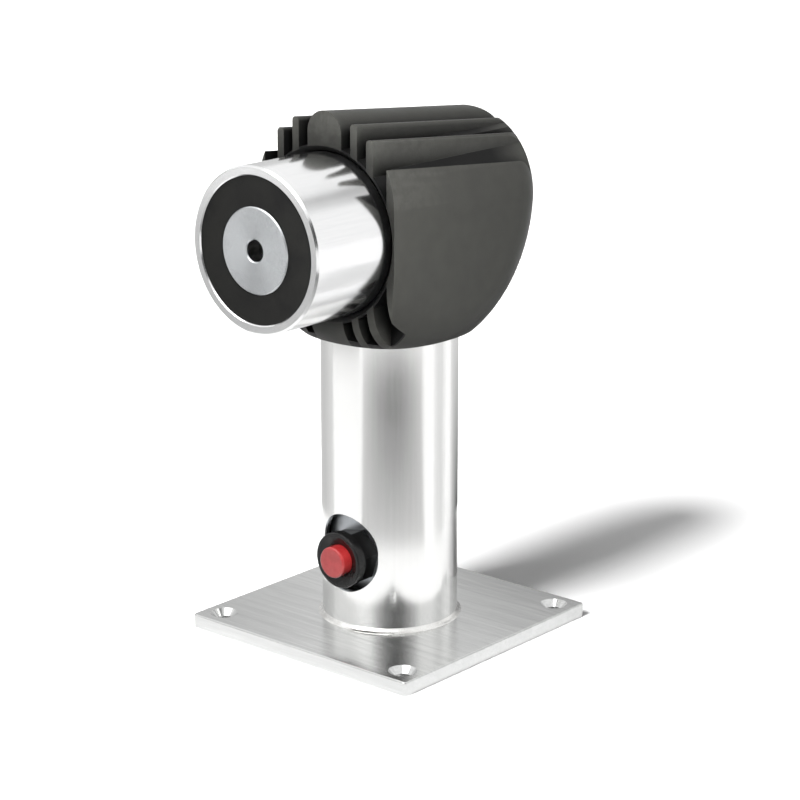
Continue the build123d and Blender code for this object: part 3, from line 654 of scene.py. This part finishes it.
# Upright or lying cards that only reflections see. Turn is counted from the magnet's direction towards +X.
cards = [
    {"name": "cardBeforeTube", "from": -3.0, "to": 96.0, "reach": 0.122, "reachHigh": 0.42, "low": 0.002,
     "high": 0.002, "side": 0.66, "middleLow": 0.64, "middleHigh": 0.0},
    {"name": "cardRight", "from": 114.0, "to": 139.0, "reach": 0.13, "low": 0.0, "high": 0.085,
     "side": 0.95, "middleLow": 0.8, "middleHigh": 0.8},
    {"name": "cardFarRight", "from": 156.0, "to": 225.0, "reach": 0.14, "low": 0.0, "high": 0.085,
     "side": 0.8, "middleLow": 0.12, "middleHigh": 0.75},
    {"name": "cardLeft", "from": 225.0, "to": 300.0, "reach": 0.14, "low": 0.0, "high": 0.085,
     "side": 0.8, "middleLow": 0.6, "middleHigh": 0.6},
    {"name": "cardBeforeMagnet", "from": -78.0, "to": -8.0, "reach": 0.42, "low": 0.0, "high": 0.1,
     "side": 0.6, "middleLow": 0.5, "middleHigh": 0.56},
    {"name": "cardHighRight", "from": 147.0, "to": 184.0, "reach": 2.0, "low": 1.32, "high": 1.95,
     "side": 0.85, "middleLow": 0.35, "middleHigh": 0.45},
    {"name": "cardBehindLeft", "from": 215.0, "to": 268.0, "reach": 2.0, "low": 0.0, "high": 0.95,
     "side": 0.85, "middleLow": 0.5, "middleHigh": 0.5},
    {"name": "cardBehindCamera", "from": 9.0, "to": 92.0, "reach": 2.0, "low": 0.2, "high": 1.2,
     "side": 0.9, "middleLow": 0.0, "middleHigh": 0.06},
]


def makeCard(setup):
    # A strip cut from a cylinder's wall, darkest in its middle
    steps = max(2, int((setup["to"] - setup["from"]) / 6))
    bpy.ops.object.select_all(action="DESELECT")
    bpy.ops.mesh.primitive_grid_add(x_subdivisions=steps, y_subdivisions=1, size=1.0, location=(0.0, 0.0, 0.0),
                                    calc_uvs=True)
    card = bpy.context.object
    card.name = setup["name"]
    reachHigh = setup.get("reachHigh", setup["reach"])
    for vertex in card.data.vertices:
        along, up = vertex.co.x + 0.5, vertex.co.y + 0.5  # both from 0 to 1
        turn = math.radians(setup["from"] + along * (setup["to"] - setup["from"]))
        height = setup["low"] + up * (setup["high"] - setup["low"])
        reach = setup["reach"] + up * (reachHigh - setup["reach"])
        vertex.co = (reach * math.sin(turn), -reach * math.cos(turn), height)
    material = bpy.data.materials.new(setup["name"])
    material.use_nodes = True
    tree = material.node_tree
    shader = tree.nodes["Principled BSDF"]
    shader.inputs["Base Color"].default_value = (0.0, 0.0, 0.0, 1.0)
    shader.inputs["Specular IOR Level"].default_value = 0.0
    shader.inputs["Emission Color"].default_value = (1.0, 1.0, 1.0, 1.0)
    apart = tree.nodes.new("ShaderNodeSeparateXYZ")
    tree.links.new(tree.nodes.new("ShaderNodeTexCoord").outputs["UV"], apart.inputs["Vector"])
    dip = mathNode(tree, "SINE", mathNode(tree, "MULTIPLY", apart.outputs["X"], math.pi))
    middle = rangeNode(tree, apart.outputs["Y"], 0.0, 1.0, setup["middleLow"], setup["middleHigh"])
    tree.links.new(rangeNode(tree, dip, 0.0, 1.0, setup["side"], middle), shader.inputs["Emission Strength"])
    card.data.materials.append(material)
    card.visible_camera = False
    card.visible_diffuse = False
    card.visible_shadow = False


for card in cards:
    makeCard(card)

view = bpy.context.scene.view_settings
view.view_transform = "Standard"
print("floor, cards and lights set")
